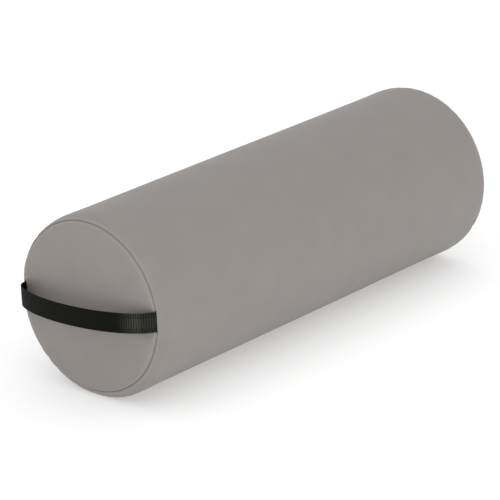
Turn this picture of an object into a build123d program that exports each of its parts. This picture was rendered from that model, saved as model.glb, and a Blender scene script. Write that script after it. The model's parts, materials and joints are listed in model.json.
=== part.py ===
"""A full-round massage bolster: a firm foam core in a soft foam wrap, inside a sewn vinyl cover with a
webbing carry handle across one end and a zip along the back.

Millimetres. +X runs along the bolster, away from the handle, +Z is up, and the origin is the centre of the
flat where the bolster rests. Around the bolster, an angle of 0 is +Y and 90 is +Z."""

import math
import os

from build123d import *

# Driving dimensions
BOLSTER_DIAMETER = 228.6
BOLSTER_LENGTH = 660.4
END_CROWN = 6.0
REST_FLAT_WIDTH = 50.0
VINYL = 1.0
WRAP_THICKNESS = 12.7
SEAM_RADIUS = 106.6
SHOULDER_LENGTH = 10.0
SEAM_ALLOWANCE = 10.0
FOLD_RADIUS = 1.2
PLY_GAP = 0.1
SHOULDER_POCKET = 14.0

HANDLE_WIDTH = 25.4
HANDLE_THICKNESS = 1.6
HANDLE_ROLL = 3.6
HANDLE_RISE = 1.9
HANDLE_TAIL = 13.0
HANDLE_STAND = 1.0
HANDLE_LEFT_PULL = (-17.5, 40.1)
HANDLE_RIGHT_PULL = (-23.2, 44.0)
GRIP_HALF_LENGTH = 72.0
GRIP_GAP = 0.5
NOTCH_CLEARANCE = 0.15
FOOT_CLEARANCE = 0.8

ZIP_ANGLE = 10.0
ZIP_SLOT_WIDTH = 12.0
ZIP_SLOT_LENGTH = 570.0
ZIP_CHAIN_LENGTH = 558.8
ZIP_TAPE_LENGTH = 594.0
ZIP_TAPE_EDGE = 15.0
ZIP_TAPE_THICKNESS = 0.6
ZIP_COIL_WIDTH = 2.3
ZIP_COIL_HEIGHT = 2.3
ZIP_CENTRE_GAP = 0.85
HEM_WIDTH = 9.0
STITCH_OFFSET = 2.5
THREAD = 0.4

SLIDER_LENGTH = 13.0
SLIDER_WIDTH = 9.5
SLIDER_TAIL_WIDTH = 8.0
SLIDER_SHOULDER = 5.0
SLIDER_PLATE = 1.4
SLIDER_PARK = 8.0
BRIDGE_WIDTH = 3.0
BRIDGE_LENGTH = 9.0
BRIDGE_BAR = 1.3
PULL_LENGTH = 28.0
PULL_WIDTH = 8.0
PULL_THICKNESS = 1.4
PULL_DROOP = 3.0

# Worked out from them
RADIUS = BOLSTER_DIAMETER / 2
INNER_RADIUS = RADIUS - VINYL
AXIS_HEIGHT = math.sqrt(RADIUS**2 - (REST_FLAT_WIDTH / 2) ** 2)
SEAM_X = BOLSTER_LENGTH / 2 - END_CROWN
WRAP_OUTER = INNER_RADIUS - 2 * PLY_GAP
WRAP_INNER = WRAP_OUTER - WRAP_THICKNESS
TUBE_FLANGE = SEAM_RADIUS + PLY_GAP
END_FLANGE = SEAM_RADIUS - PLY_GAP
HEM_INNER = INNER_RADIUS - VINYL
TAPE_OUTER = HEM_INNER - PLY_GAP
TAPE_INNER = TAPE_OUTER - ZIP_TAPE_THICKNESS
COIL_INNER = TAPE_OUTER + PLY_GAP / 2
COIL_OUTER = COIL_INNER + ZIP_COIL_HEIGHT
CENTRE_LINE = Axis((0, 0, AXIS_HEIGHT), (1, 0, 0))
FOOT_CORNER = math.sqrt(END_FLANGE**2 - (HANDLE_WIDTH / 2) ** 2)
HANDLE_HALF_CHORD = FOOT_CORNER - HANDLE_THICKNESS / 2 - FOOT_CLEARANCE

os.makedirs("parts", exist_ok=True)


def save(builder, label):
    """Labels a finished piece and writes it as parts/LABEL.step."""
    builder.part.label = label
    export_step(builder.part, f"parts/{label}.step")


def radial_plane(angle):
    """The plane through the centre line at an angle round it: local x runs along the bolster, y outwards."""
    turn = math.radians(angle)
    return Plane(
        origin=(0, 0, AXIS_HEIGHT), x_dir=(1, 0, 0), z_dir=(0, -math.sin(turn), math.cos(turn))
    )


def tangent_plane(radius, x=0.0):
    """The plane facing out of the zip, at a radius and a place along it: local x runs along the bolster."""
    turn = math.radians(ZIP_ANGLE)
    outwards = (0, math.cos(turn), math.sin(turn))
    origin = (x, radius * outwards[1], AXIS_HEIGHT + radius * outwards[2])
    return Plane(origin=origin, x_dir=(1, 0, 0), z_dir=outwards)


def band(x_span, r_span, angles=(0.0, 360.0), mode=Mode.ADD):
    """A rectangle in length and radius, revolved from one angle to another, in the part being built."""
    with BuildSketch(radial_plane(angles[0])) as section:
        with Locations((sum(x_span) / 2, sum(r_span) / 2)):
            Rectangle(x_span[1] - x_span[0], r_span[1] - r_span[0])
    revolve(section.sketch, axis=CENTRE_LINE, revolution_arc=angles[1] - angles[0], mode=mode)


def zip_angles(near, far):
    """The angles of a strip beside the zip's middle line, between two distances from it around the cover."""
    to_degrees = 180 / (math.pi * RADIUS)
    return ZIP_ANGLE + min(near, far) * to_degrees, ZIP_ANGLE + max(near, far) * to_degrees


# Foam core: a firm cylinder with crowned ends, just inside the end panels.
CORE_END = SEAM_X - VINYL - 2 * PLY_GAP
with BuildPart() as foam_core:
    with BuildSketch(radial_plane(90)):
        with BuildLine():
            ThreePointArc(
                (-CORE_END, WRAP_INNER), (-CORE_END - END_CROWN, 0), (-CORE_END, -WRAP_INNER)
            )
            ThreePointArc((CORE_END, WRAP_INNER), (CORE_END + END_CROWN, 0), (CORE_END, -WRAP_INNER))
            Line((-CORE_END, WRAP_INNER), (CORE_END, WRAP_INNER))
            Line((-CORE_END, -WRAP_INNER), (CORE_END, -WRAP_INNER))
        make_face()
        split(bisect_by=Plane.XZ, keep=Keep.TOP)
    revolve(axis=CENTRE_LINE)
save(foam_core, "foam_core")

# Foam wrap: a soft sheet rolled round the core, with a butt joint, a channel for the zip and a flat below.
WRAP_END = SEAM_X - SHOULDER_POCKET
CHANNEL_FLOOR = 107.5
CHANNEL_HALF_WIDTH = ZIP_TAPE_EDGE + 2.0
BUTT_JOINT = 0.4
with BuildPart() as foam_wrap:
    band((-WRAP_END, WRAP_END), (WRAP_INNER + PLY_GAP, WRAP_OUTER))
    band(
        (-WRAP_END, WRAP_END),
        (CHANNEL_FLOOR, RADIUS),
        zip_angles(-CHANNEL_HALF_WIDTH, CHANNEL_HALF_WIDTH),
        mode=Mode.SUBTRACT,
    )
    joint_angle = ZIP_ANGLE + 180
    band(
        (-SEAM_X, SEAM_X),
        (WRAP_INNER - VINYL, RADIUS),
        (joint_angle, joint_angle + math.degrees(BUTT_JOINT / RADIUS)),
        mode=Mode.SUBTRACT,
    )
    split(bisect_by=Plane.XY.offset(VINYL + PLY_GAP), keep=Keep.TOP)
save(foam_wrap, "foam_wrap")


def shoulder_profile(fold_radius, shoulder, top):
    """Half the section of a drum with rounded shoulders, whose ends turn in round the seam's fold."""
    fold_centre = TUBE_FLANGE + FOLD_RADIUS
    start = SEAM_X - FOLD_RADIUS
    with BuildSketch(radial_plane(90)) as section:
        with BuildLine():
            Line((0, 0), (0, top))
            Line((0, top), (SEAM_X - SHOULDER_LENGTH, top))
            EllipticalCenterArc((SEAM_X - SHOULDER_LENGTH, fold_centre), shoulder, top - fold_centre)
            RadiusArc(
                (start + fold_radius, fold_centre), (start, fold_centre - fold_radius), -fold_radius
            )
            Line((start, fold_centre - fold_radius), (start, 0))
            Line((start, 0), (0, 0))
        make_face()
        mirror(about=Plane.YZ)
    return section.sketch


# The hollow inside the cover's tube, down to the flat.
with BuildPart() as tube_hollow:
    hollow_fold = FOLD_RADIUS - VINYL
    revolve(shoulder_profile(hollow_fold, SHOULDER_LENGTH - VINYL, INNER_RADIUS), axis=CENTRE_LINE)
    split(bisect_by=Plane.XY.offset(VINYL), keep=Keep.TOP)

# Body panel: one vinyl sheet sewn into a tube. Its ends turn in as the seam allowance, and beside the zip
# its long edges are folded under as hems.
SLOT_HALF = ZIP_SLOT_WIDTH / 2
SLOT_END = ZIP_SLOT_LENGTH / 2
SEAM_LINE_WIDTH = 0.8
SEAM_LINE_DEPTH = 0.5
with BuildPart() as body_panel:
    revolve(shoulder_profile(FOLD_RADIUS, SHOULDER_LENGTH, RADIUS), axis=CENTRE_LINE)
    split(bisect_by=Plane.XY, keep=Keep.TOP)
    add(tube_hollow.part, mode=Mode.SUBTRACT)
    for side in (-1, 1):
        outer_end = side * (SEAM_X + VINYL)
        inner_end = side * (SEAM_X - SEAM_ALLOWANCE)
        ends = (min(outer_end, inner_end), max(outer_end, inner_end))
        band(ends, (0, TUBE_FLANGE), mode=Mode.SUBTRACT)
        fold = side * (SEAM_X - FOLD_RADIUS)
        band((min(fold, inner_end), max(fold, inner_end)), (TUBE_FLANGE, TUBE_FLANGE + VINYL))
        hem = zip_angles(side * SLOT_HALF, side * (SLOT_HALF + HEM_WIDTH))
        band((-SLOT_END, SLOT_END), (HEM_INNER, INNER_RADIUS), hem)
        stub = (side * SLOT_END, side * (SEAM_X - SHOULDER_LENGTH))
        line = zip_angles(-SEAM_LINE_WIDTH / 2, SEAM_LINE_WIDTH / 2)
        band((min(stub), max(stub)), (RADIUS - SEAM_LINE_DEPTH, RADIUS + 1), line, mode=Mode.SUBTRACT)
    band(
        (-SLOT_END, SLOT_END),
        (HEM_INNER - 1, RADIUS + 1),
        zip_angles(-SLOT_HALF, SLOT_HALF),
        mode=Mode.SUBTRACT,
    )
save(body_panel, "body_panel")

# Handle: flat webbing whose line is one curve across the near end, in a plane rolled a little about the axis.
# Local x of the plane runs across the end, from +Y to -Y, and local y runs out of the end.
roll = math.radians(HANDLE_ROLL)
handle_plane = Plane(
    origin=(-SEAM_X, 0, AXIS_HEIGHT + HANDLE_RISE),
    x_dir=(0, -math.cos(roll), math.sin(roll)),
    z_dir=(0, -math.sin(roll), -math.cos(roll)),
)
left_foot = (-HANDLE_HALF_CHORD, HANDLE_STAND)
right_foot = (HANDLE_HALF_CHORD, HANDLE_STAND)
left_pull = (left_foot[0] + HANDLE_LEFT_PULL[0], HANDLE_LEFT_PULL[1])
right_pull = (right_foot[0] + HANDLE_RIGHT_PULL[0], HANDLE_RIGHT_PULL[1])
with BuildPart() as webbing:
    with BuildSketch(handle_plane):
        with BuildLine():
            Line((left_foot[0], -HANDLE_TAIL), left_foot)
            Bezier(left_foot, left_pull, right_pull, right_foot)
            Line(right_foot, (right_foot[0], -HANDLE_TAIL))
        trace(line_width=HANDLE_THICKNESS)
    extrude(amount=HANDLE_WIDTH / 2, both=True)


def handle_cut(distance):
    """The plane across the webbing at a distance from the handle's middle, facing away from it."""
    across = handle_plane.x_dir * (1 if distance > 0 else -1)
    return Plane(origin=handle_plane.origin + handle_plane.x_dir * distance, z_dir=across)


with BuildPart() as handle_grip:
    add(webbing.part)
    split(bisect_by=handle_cut(GRIP_HALF_LENGTH), keep=Keep.BOTTOM)
    split(bisect_by=handle_cut(-GRIP_HALF_LENGTH), keep=Keep.BOTTOM)
save(handle_grip, "handle_grip")

with BuildPart() as handle_end_left:
    add(webbing.part)
    split(bisect_by=handle_cut(-GRIP_HALF_LENGTH - GRIP_GAP), keep=Keep.TOP)
save(handle_end_left, "handle_end_left")

with BuildPart() as handle_end_right:
    add(webbing.part)
    split(bisect_by=handle_cut(GRIP_HALF_LENGTH + GRIP_GAP), keep=Keep.TOP)
save(handle_end_right, "handle_end_right")


def end_panel_profile():
    """Half the section of an end panel at +X: a crowned disc whose rim turns in as the seam allowance."""
    face_rim = END_FLANGE - FOLD_RADIUS
    turn = SEAM_X - FOLD_RADIUS
    flange_end = SEAM_X - SEAM_ALLOWANCE
    inner_face = SEAM_X - VINYL
    inner_fold = FOLD_RADIUS - VINYL
    with BuildSketch(radial_plane(90)) as section:
        with BuildLine():
            ThreePointArc((SEAM_X, face_rim), (SEAM_X + END_CROWN, 0), (SEAM_X, -face_rim))
            ThreePointArc((inner_face, face_rim), (inner_face + END_CROWN, 0), (inner_face, -face_rim))
            for side in (-1, 1):
                RadiusArc((SEAM_X, side * face_rim), (turn, side * END_FLANGE), side * -FOLD_RADIUS)
                RadiusArc(
                    (inner_face, side * face_rim),
                    (turn, side * (face_rim + inner_fold)),
                    side * -inner_fold,
                )
                Polyline(
                    (turn, side * END_FLANGE),
                    (flange_end, side * END_FLANGE),
                    (flange_end, side * (END_FLANGE - VINYL)),
                    (turn, side * (END_FLANGE - VINYL)),
                )
        make_face()
        split(bisect_by=Plane.XZ, keep=Keep.TOP)
    return section.sketch


# Far end panel: a vinyl disc with nothing on it.
with BuildPart() as far_end_panel:
    revolve(end_panel_profile(), axis=CENTRE_LINE)
save(far_end_panel, "far_end_panel")

# Near end panel: the same disc, its rim notched where the webbing goes through the seam.
NOTCH_DEPTH = HANDLE_THICKNESS + NOTCH_CLEARANCE + 2.0
with BuildPart() as handle_notches:
    with BuildSketch(handle_plane):
        for side in (-1, 1):
            notch_floor = HANDLE_HALF_CHORD - HANDLE_THICKNESS / 2 - NOTCH_CLEARANCE
            with Locations((side * (notch_floor + NOTCH_DEPTH / 2), 0)):
                Rectangle(NOTCH_DEPTH, 2 * (HANDLE_TAIL + NOTCH_CLEARANCE))
    extrude(amount=HANDLE_WIDTH / 2 + NOTCH_CLEARANCE, both=True)

with BuildPart() as near_end_panel:
    revolve(end_panel_profile(), axis=CENTRE_LINE)
    mirror(about=Plane.YZ, mode=Mode.REPLACE)
    add(handle_notches.part, mode=Mode.SUBTRACT)
save(near_end_panel, "near_end_panel")

# Seam threads: a needle thread and a bobbin thread, one on each side of the two turned-in plies.
STITCH_DEPTH = 3.5
NEEDLE_THREAD = (TUBE_FLANGE + VINYL, TUBE_FLANGE + VINYL + THREAD)
BOBBIN_THREAD = (END_FLANGE - VINYL - THREAD, END_FLANGE - VINYL)
with BuildPart() as near_seam_thread:
    band((-SEAM_X + STITCH_DEPTH, -SEAM_X + STITCH_DEPTH + THREAD), BOBBIN_THREAD)
    add(handle_notches.part, mode=Mode.SUBTRACT)
    band((-SEAM_X + STITCH_DEPTH, -SEAM_X + STITCH_DEPTH + THREAD), NEEDLE_THREAD)
save(near_seam_thread, "near_seam_thread")

with BuildPart() as far_seam_thread:
    for span in (NEEDLE_THREAD, BOBBIN_THREAD):
        band((SEAM_X - STITCH_DEPTH - THREAD, SEAM_X - STITCH_DEPTH), span)
save(far_seam_thread, "far_seam_thread")

# Handle stitching: three bars of thread across the inner face of each webbing tail.
TACK_ROWS = 3
TACK_PITCH = 2.5
TACK_LENGTH = HANDLE_WIDTH - 4.0
with BuildPart() as handle_stitching:
    with BuildSketch(handle_plane):
        for side in (-1, 1):
            inner_face = side * (HANDLE_HALF_CHORD - HANDLE_THICKNESS / 2 - THREAD / 2)
            for row in range(TACK_ROWS):
                with Locations((inner_face, -STITCH_DEPTH - row * TACK_PITCH)):
                    Rectangle(THREAD, THREAD)
    extrude(amount=TACK_LENGTH / 2, both=True)
save(handle_stitching, "handle_stitching")

# Zip: two tapes under the hems, and a row of coil on each. "upper" is the side further round, towards +Z.
TAPE_SPAN = (-ZIP_TAPE_LENGTH / 2, ZIP_TAPE_LENGTH / 2)
CHAIN_SPAN = (-ZIP_CHAIN_LENGTH / 2, ZIP_CHAIN_LENGTH / 2)
STITCH_PLACE = SLOT_HALF + STITCH_OFFSET
for side, name in ((1, "upper"), (-1, "lower")):
    with BuildPart() as tape:
        band(TAPE_SPAN, (TAPE_INNER, TAPE_OUTER), zip_angles(side * ZIP_CENTRE_GAP, side * ZIP_TAPE_EDGE))
    save(tape, f"zipper_tape_{name}")

    with BuildPart() as coil:
        coil_edge = ZIP_CENTRE_GAP + ZIP_COIL_WIDTH
        band(CHAIN_SPAN, (COIL_INNER, COIL_OUTER), zip_angles(side * ZIP_CENTRE_GAP, side * coil_edge))
    save(coil, f"zipper_coil_{name}")

    with BuildPart() as stitching:
        stitch_edges = zip_angles(side * STITCH_PLACE, side * (STITCH_PLACE + THREAD))
        band((-SLOT_END, SLOT_END), (RADIUS, RADIUS + THREAD), stitch_edges)
    save(stitching, f"zipper_stitching_{name}")

# Stops: one on each coil at the closed end, near the handle, and one across both at the open end.
STOP_LENGTH = 3.0
STOP_GAP = 0.2
STOP_HEIGHT = 0.6
STOP_SPAN = (COIL_OUTER + STOP_GAP / 2, COIL_OUTER + STOP_HEIGHT)
with BuildPart() as zipper_top_stops:
    for side in (-1, 1):
        band(
            (CHAIN_SPAN[0], CHAIN_SPAN[0] + STOP_LENGTH),
            STOP_SPAN,
            zip_angles(side * ZIP_CENTRE_GAP, side * (ZIP_CENTRE_GAP + ZIP_COIL_WIDTH)),
        )
save(zipper_top_stops, "zipper_top_stops")

with BuildPart() as zipper_bottom_stop:
    stop_half = ZIP_CENTRE_GAP + ZIP_COIL_WIDTH
    band((CHAIN_SPAN[1] - STOP_LENGTH, CHAIN_SPAN[1]), STOP_SPAN, zip_angles(-stop_half, stop_half))
save(zipper_bottom_stop, "zipper_bottom_stop")

# Closing seam threads: they close the tube's long seam from each end of the zip to the end seams.
with BuildPart() as closing_seam_threads:
    for side in (-1, 1):
        stub = (side * (SLOT_END + VINYL), side * (SEAM_X - SHOULDER_LENGTH))
        thread_edges = zip_angles(-THREAD / 2, THREAD / 2)
        floor = RADIUS - SEAM_LINE_DEPTH
        band((min(stub), max(stub)), (floor, floor + THREAD), thread_edges)
save(closing_seam_threads, "closing_seam_threads")

# Slider: two shield-shaped plates joined by a post between the coils, side walls, and a bridge for the pull.
# Its wide front, where the two coils part, faces the top stops.
SLIDER_X = CHAIN_SPAN[0] + STOP_LENGTH + SLIDER_PARK
INNER_PLATE = TAPE_INNER - 0.3 - SLIDER_PLATE
OUTER_PLATE = COIL_OUTER + STOP_HEIGHT + 0.1
PLATE_TOP = OUTER_PLATE + SLIDER_PLATE
PLATE_CORNER = 1.8
PLATE_EDGE = 0.45
WALL_FOOT = TAPE_OUTER + 0.5
WALL_THICKNESS = 0.9
WALL_LENGTH = SLIDER_LENGTH - 4.0
POST_LENGTH = 4.0
POST_WIDTH = 1.2
BRIDGE_ROOM = 2.3
BRIDGE_CORNER = 1.4
WINDOW_CORNER = 0.6
HINGE_RADIUS = PLATE_TOP + BRIDGE_ROOM / 2


def slider_outline(radius, inset=0.0):
    """The shield outline of the slider, wide at the front and narrow at the tail, at a radius."""
    front = -SLIDER_LENGTH / 2
    half_width = SLIDER_WIDTH / 2
    with BuildSketch(tangent_plane(radius, SLIDER_X)) as shield:
        with BuildLine():
            Polyline(
                (front, 0),
                (front, half_width),
                (front + SLIDER_SHOULDER, half_width),
                (-front, SLIDER_TAIL_WIDTH / 2),
                (-front, 0),
            )
            mirror(about=Plane.XZ)
        make_face()
        fillet(shield.vertices(), PLATE_CORNER)
        if inset:
            offset(amount=-inset, mode=Mode.REPLACE)
    return shield.sketch


with BuildPart() as slider_plates:
    for radius in (INNER_PLATE, OUTER_PLATE):
        extrude(slider_outline(radius), amount=SLIDER_PLATE)
    outer_face = slider_plates.faces().sort_by(Axis(tangent_plane(0).origin, tangent_plane(0).z_dir))[-1]
    fillet(outer_face.edges(), PLATE_EDGE)

with BuildPart() as slider_walls:
    WALL_HEIGHT = OUTER_PLATE - WALL_FOOT
    extrude(slider_outline(WALL_FOOT), amount=WALL_HEIGHT)
    extrude(slider_outline(WALL_FOOT, WALL_THICKNESS), amount=WALL_HEIGHT, mode=Mode.SUBTRACT)
    with BuildSketch(tangent_plane(WALL_FOOT, SLIDER_X)):
        Rectangle(WALL_LENGTH, SLIDER_WIDTH)
    extrude(amount=WALL_HEIGHT, mode=Mode.INTERSECT)

with BuildPart() as zipper_slider:
    add(slider_plates.part)
    add(slider_walls.part)
    with BuildSketch(tangent_plane(INNER_PLATE, SLIDER_X)):
        with Locations(((POST_LENGTH - SLIDER_LENGTH) / 2 + 1, 0)):
            Rectangle(POST_LENGTH, POST_WIDTH)
    extrude(amount=PLATE_TOP - INNER_PLATE)
    with BuildSketch(radial_plane(ZIP_ANGLE)) as bridge:
        with Locations((SLIDER_X, PLATE_TOP + (BRIDGE_ROOM + BRIDGE_BAR) / 2)):
            Rectangle(BRIDGE_LENGTH, BRIDGE_ROOM + BRIDGE_BAR)
        fillet(bridge.vertices().group_by(Axis.Z)[-1], BRIDGE_CORNER)
        with Locations((SLIDER_X, HINGE_RADIUS)):
            RectangleRounded(BRIDGE_LENGTH - 2 * BRIDGE_BAR, BRIDGE_ROOM, WINDOW_CORNER, mode=Mode.SUBTRACT)
    extrude(amount=BRIDGE_WIDTH / 2, both=True)
save(zipper_slider, "zipper_slider")

# Pull: a tab whose round bar turns under the bridge. It lies towards the handle, drooping to the cover.
PIN_RADIUS = 0.65
WINDOW_WIDTH = 4.0
WINDOW_LENGTH = 5.3
ARM_WIDTH = 1.2
PULL_EDGE = 0.35
GRIP_HOLE = 1.6
pull_plane = tangent_plane(HINGE_RADIUS, SLIDER_X).rotated((0, -PULL_DROOP, 0))
with BuildPart() as zipper_pull:
    with BuildSketch(pull_plane.offset(-PULL_THICKNESS / 2)):
        neck_length = WINDOW_LENGTH + 2.0
        with Locations((-neck_length / 2, 0)):
            Rectangle(neck_length, WINDOW_WIDTH + 2 * ARM_WIDTH)
        with Locations((-(WINDOW_LENGTH + PULL_LENGTH) / 2, 0)):
            RectangleRounded(PULL_LENGTH - WINDOW_LENGTH, PULL_WIDTH, 2.0)
        with Locations((-WINDOW_LENGTH / 2, 0)):
            Rectangle(WINDOW_LENGTH, WINDOW_WIDTH, mode=Mode.SUBTRACT)
        with Locations((-PULL_LENGTH + 2 * GRIP_HOLE + 1, 0)):
            Circle(GRIP_HOLE, mode=Mode.SUBTRACT)
    extrude(amount=PULL_THICKNESS)
    broad_faces = zipper_pull.faces().sort_by(Axis(pull_plane.origin, pull_plane.z_dir))
    fillet(broad_faces[0].edges() + broad_faces[-1].edges(), PULL_EDGE)
    with BuildSketch(Plane(origin=pull_plane.origin, x_dir=pull_plane.z_dir, z_dir=pull_plane.y_dir)):
        Circle(PIN_RADIUS)
    extrude(amount=WINDOW_WIDTH / 2 + ARM_WIDTH, both=True)
save(zipper_pull, "zipper_pull")
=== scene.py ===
"""The looks of a full-round massage bolster: a vinyl cover with sewn ends over foam, a webbing handle across
the near end and a coil zip along the back.

Metres, in the row frame: +X runs along the bolster, away from the handle, and +Z is up."""

import json
import math

import bpy
import numpy as np
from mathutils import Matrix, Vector


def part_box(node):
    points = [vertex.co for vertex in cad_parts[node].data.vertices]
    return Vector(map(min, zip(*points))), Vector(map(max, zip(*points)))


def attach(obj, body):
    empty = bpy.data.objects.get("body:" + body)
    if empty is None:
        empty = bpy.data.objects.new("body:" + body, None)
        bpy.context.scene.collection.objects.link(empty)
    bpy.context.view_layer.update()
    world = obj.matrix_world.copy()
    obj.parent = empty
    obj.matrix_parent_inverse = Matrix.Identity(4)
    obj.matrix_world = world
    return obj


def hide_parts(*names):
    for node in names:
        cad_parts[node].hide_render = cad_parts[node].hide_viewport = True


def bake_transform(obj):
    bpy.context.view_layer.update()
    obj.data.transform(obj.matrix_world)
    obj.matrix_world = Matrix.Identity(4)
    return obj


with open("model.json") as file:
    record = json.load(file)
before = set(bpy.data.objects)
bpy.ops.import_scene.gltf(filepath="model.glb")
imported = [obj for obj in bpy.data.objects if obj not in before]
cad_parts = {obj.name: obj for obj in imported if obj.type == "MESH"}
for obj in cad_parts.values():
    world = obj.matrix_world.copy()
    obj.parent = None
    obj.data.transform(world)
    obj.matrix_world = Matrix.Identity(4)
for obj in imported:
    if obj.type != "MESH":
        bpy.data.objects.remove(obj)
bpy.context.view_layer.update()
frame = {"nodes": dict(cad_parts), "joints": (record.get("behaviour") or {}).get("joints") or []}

MM = 0.001

# ---------------------------------------------------------------- sizes and places from the frame

body_low, body_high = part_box("body_panel")
disc_low, disc_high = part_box("near_end_panel")
coil_low, coil_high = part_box("zipper_coil_upper")
slider_low, slider_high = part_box("zipper_slider")
stitching_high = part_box("zipper_stitching_upper")[1]
joints = {joint["name"]: joint for joint in frame["joints"]}

SEAM_X = body_high[0]
RADIUS = (body_high[1] - body_low[1]) / 2
AXIS_HEIGHT = body_high[2] - RADIUS
CROWN = -disc_low[0] - SEAM_X
SEAM_RADIUS = (disc_high[2] - disc_low[2]) / 2 + 0.1 * MM

HANDLE_PIVOT = np.array(joints["handle_swing"]["pos_m"])
HANDLE_ALONG = np.array(joints["handle_swing"]["axis"])
HANDLE_WIDTH = 25.4 * MM
HANDLE_THICKNESS = 1.6 * MM

ZIP_ANGLE = math.atan2(
    joints["pull_tab_hinge"]["pos_m"][2] - AXIS_HEIGHT, joints["pull_tab_hinge"]["pos_m"][1]
)
ZIP_SLOT_HALF = 6.0 * MM
ZIP_SLOT_END = stitching_high[0]
ZIP_FLOOR = 111.3 * MM
HEM_STITCH_PLACE = 8.7 * MM
HEM_STITCH_PITCH = 3.2 * MM
HEM_STITCH_LENGTH = 2.5 * MM
THREAD_RADIUS = 0.24 * MM

COIL_MIDDLE = 113.4 * MM
COIL_PITCH = 1.35 * MM
COIL_WIRE = 0.31 * MM
COIL_REACH = (-0.35 * MM, 2.75 * MM)
COIL_HALF_HEIGHT = 0.8 * MM
COIL_PARTED = 1.05 * MM

# ---------------------------------------------------------------- sizes of the soft forms

FOLD = 0.6 * MM
SHOULDER = 10.0 * MM
VINYL = 1.0 * MM
PLY_GAP = 0.05 * MM
SEAM_SHIFT = (4.2 * MM, 1.2 * MM)
RIM_SHARE = 0.075
DOME = 0.9 * MM
HELD_REACH = (0.35, 0.85)
FLANGE = 9.0 * MM
# painted shade along the seams' creases and a painted highlight along the folded edges beside them: their
# widths and places
SEAM_SHADE_WIDTH = 0.8 * MM
EDGE_HIGHLIGHT_PLACE = 2.6 * MM
EDGE_HIGHLIGHT_WIDTH = 1.5 * MM
COLUMN_STEP = 2.0 * MM
ROW_STEP = 12.0 * MM
GATHER_ROWS = np.array([3.0, 6.5, 10.5, 15.5, 22.0]) * MM
FLOOR_SOFTNESS = 1.2 * MM

PUCKER_DEPTH = 0.85 * MM
PUCKER_REACH = 16.0 * MM
PUCKER_CYCLES = (14, 52)
FINE_CYCLES = (60, 100)
WAVE_DEPTH = 0.35 * MM
TUBE_SLACK = 0.67 * MM

HANDLE_FEET = (-107.0 * MM, 101.1 * MM)
HANDLE_PULLS = ((-8.2 * MM, 41.4 * MM), (-22.8 * MM, 42.9 * MM))
HANDLE_SAG = 2.6 * MM
HANDLE_TAIL = 9.0 * MM
RIB_PITCH = 3.0 * MM
RIB_DEPTH = 0.28 * MM
RIB_GROOVE = 0.55 * MM
RIB_ROWS = 9
SELVEDGE_LINES = (7.4 * MM, 10.2 * MM)

FOOT_REACH = (12 * MM, 34 * MM)
PLY_REJOIN = 2.5 * MM
DIP_WIDTH = 0.9 * MM
CLOSING_SEAM_DEPTH = 0.9 * MM
HEM_DEPTH = 0.12 * MM

# ---------------------------------------------------------------- how the cloth swells

CLOTH_STEP = 6.0 * MM
CLOTH_FRAMES = 20
TUBE_PRESSURE, TUBE_STIFFNESS = 60.0, 5.0
END_PRESSURE, END_STIFFNESS = 4.0, 40.0
CLOTH_BENDING = 0.3
CLOTH_CAP = 3.0 * MM
END_MIDDLE = 0.12

# ---------------------------------------------------------------- colours, patterns and light

VINYL_COLOUR = (0.272, 0.2515, 0.2380)
GRAIN_SIZE = 1.1 * MM
GRAIN_WARP_SIZE = 1.6 * MM
GRAIN_WARP = 1.2 * MM

WEBBING_COLOUR = (0.0026, 0.0032, 0.0022)
# painted highlight on the webbing's rib tops: its colour, where along the strap it rises and falls, and how
# much it loses
HIGHLIGHT_WEBBING_COLOUR = (0.054, 0.056, 0.046)
HIGHLIGHT_RISE = (0.76, 0.875)
HIGHLIGHT_FALL = (0.875, 0.90)
HIGHLIGHT_LOSS = 0.5
YARN_PITCH = 0.85 * MM

THREAD_TWIST = 1.2 * MM
TAPE_COLUMN = 1.2 * MM
TAPE_ROW = 0.7 * MM
FOAM_CELL = 1.2 * MM

SKY = ((0.0, 1.0), (0.2, 0.72), (0.5, 0.84), (0.75, 1.05), (1.0, 1.33))
FLOOR_HALF = 12.0
FLOOR_DROP = 0.2 * MM
FLOOR_GLOW = (0.34, 0.66)
FLOOR_GLOW_PLACE = -0.7
KEY_PLACE = (-2.1, -1.3, 0.7)
KEY_SIZE = 1.2
KEY_POWER = 5.5

# ---------------------------------------------------------------- camera

CAMERA_AZIMUTH = -50.69
CAMERA_ELEVATION = 20.72
CAMERA_DISTANCE = 4.091
CAMERA_AIM = (-0.0163, 0.0091, 0.0934)
CAMERA_LENS = 233.3


def make_camera():
    """The camera, at the viewing angle, looking along azimuth and down by elevation."""
    azimuth, elevation = math.radians(CAMERA_AZIMUTH), math.radians(CAMERA_ELEVATION)
    forward = Vector(
        (
            -math.sin(azimuth) * math.cos(elevation),
            math.cos(azimuth) * math.cos(elevation),
            -math.sin(elevation),
        )
    )
    data = bpy.data.cameras.new("camera")
    data.lens = CAMERA_LENS
    camera = bpy.data.objects.new("camera", data)
    camera.location = Vector(CAMERA_AIM) - forward * CAMERA_DISTANCE
    camera.rotation_euler = forward.to_track_quat("-Z", "Y").to_euler()
    bpy.context.scene.collection.objects.link(camera)
    bpy.context.scene.camera = camera


# ---------------------------------------------------------------- materials


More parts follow.
